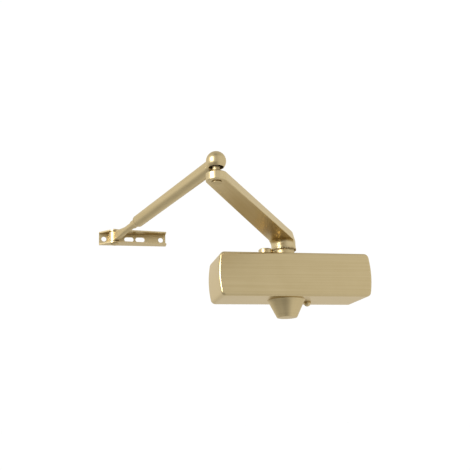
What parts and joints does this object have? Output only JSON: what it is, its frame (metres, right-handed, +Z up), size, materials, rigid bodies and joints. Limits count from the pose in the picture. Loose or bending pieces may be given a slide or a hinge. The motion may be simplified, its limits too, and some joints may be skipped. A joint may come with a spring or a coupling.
{
  "type": "door closer",
  "caption": "Surface door closer: boxy satin gold cover over a rack-and-pinion unit, cone cap below, forged main arm, tubular forearm with ball elbow, and a slotted foot bracket.",
  "frame": {"origin": "centre of the four body screw holes, on the door's face", "axes": "+X along the door to the right, +Y into the door, +Z up"},
  "size_m": [0.381, 0.293, 0.1455],
  "materials": {
    "cover_gold": "satin gold plate, brushed along the door",
    "arm_gold": "satin gold coat on forged steel",
    "casting": "as cast",
    "steel": "machined",
    "spring_steel": "oiled",
    "dark_steel": "black oxide",
    "bronze": "machined",
    "rubber": "matt",
    "socket_plastic": "moulded"
  },
  "bodies": {
    "closer_body": {"cover": "cover_gold", "pinion_cap": "cover_gold", "cap_nut": "cover_gold", "cap_nut_stud": "steel", "cover_screw": "cover_gold", "body_casting": "casting", "left_end_plug": "steel", "right_end_plug": "steel", "end_plug_seals": "rubber", "upper_bush": "bronze", "lower_bush": "bronze", "upper_bearing_nut": "steel", "lower_bearing_nut": "steel", "shaft_seals": "rubber", "closing_spring": "spring_steel"},
    "pinion_and_arm": {"pinion": "steel", "index_collar": "arm_gold", "main_arm": "arm_gold", "arm_washer": "steel", "arm_screw": "steel", "elbow_stud": "arm_gold"},
    "piston": {"piston": "steel", "piston_ring": "rubber", "check_ball": "steel", "check_ball_retainer": "steel"},
    "seat": {"spring_seat": "steel"},
    "power_screw": {"power_screw": "steel"},
    "sweep_valve": {"sweep_valve": "bronze"},
    "latch_valve": {"latch_valve": "bronze"},
    "backcheck_valve": {"backcheck_valve": "bronze"},
    "forearm": {"ball_housing": "arm_gold", "elbow_socket": "socket_plastic", "socket_ring": "steel", "forearm_tube": "arm_gold", "tube_ferrule": "arm_gold", "set_screw": "dark_steel"},
    "rod": {"adjusting_rod": "arm_gold", "eye_bush": "bronze"},
    "foot": {"foot_bracket": "arm_gold", "foot_pin": "arm_gold"}
  },
  "joints": [
    {"name": "pinion_turn", "type": "hinge", "parent": "closer_body", "child": "pinion_and_arm", "pos_m": [-0.006, -0.0365, 0], "axis": [0, 0, 1], "range_deg": [-160, 20], "stiffness_Nm_per_rad": 3},
    {"name": "piston_slide", "type": "slide", "parent": "closer_body", "child": "piston", "axis": [1, 0, 0], "range_m": [-0.0036, 0.028], "deforming": ["closing_spring"]},
    {"name": "elbow_turn", "type": "hinge", "parent": "pinion_and_arm", "child": "forearm", "pos_m": [-0.15596, -0.28121, 0.0785], "axis": [0, 0, 1], "range_deg": [-20, 125]},
    {"name": "rod_slide", "type": "slide", "parent": "forearm", "child": "rod", "axis": [-0.3251, 0.9441, -0.0538], "range_m": [-0.015, 0.03]},
    {"name": "foot_pivot", "type": "hinge", "parent": "rod", "child": "foot", "pos_m": [-0.24842, -0.01268, 0.063], "axis": [0, 0, 1], "range_deg": [-55, 95]},
    {"name": "sweep_valve_turn", "type": "hinge", "parent": "closer_body", "child": "sweep_valve", "pos_m": [-0.072, -0.0095, -0.01], "axis": [1, 0, 0], "range_deg": [-90, 270]},
    {"name": "latch_valve_turn", "type": "hinge", "parent": "closer_body", "child": "latch_valve", "pos_m": [-0.072, -0.0095, 0], "axis": [1, 0, 0], "range_deg": [-90, 270]},
    {"name": "backcheck_valve_turn", "type": "hinge", "parent": "closer_body", "child": "backcheck_valve", "pos_m": [-0.072, -0.0095, 0.01], "axis": [1, 0, 0], "range_deg": [-90, 270]},
    {"name": "power_screw_turn", "type": "hinge", "parent": "closer_body", "child": "power_screw", "pos_m": [0, -0.0365, 0], "axis": [1, 0, 0], "range_deg": [-720, 720]},
    {"name": "seat_slide", "type": "slide", "parent": "closer_body", "child": "seat", "axis": [1, 0, 0], "range_m": [-0.0031, 0.0031]}
  ],
  "couplings": [
    {"joint": "piston_slide", "follows": "pinion_turn", "m_per_rad": -0.01},
    {"joint": "seat_slide", "follows": "power_screw_turn", "m_per_rad": 0.00023873}
  ]
}
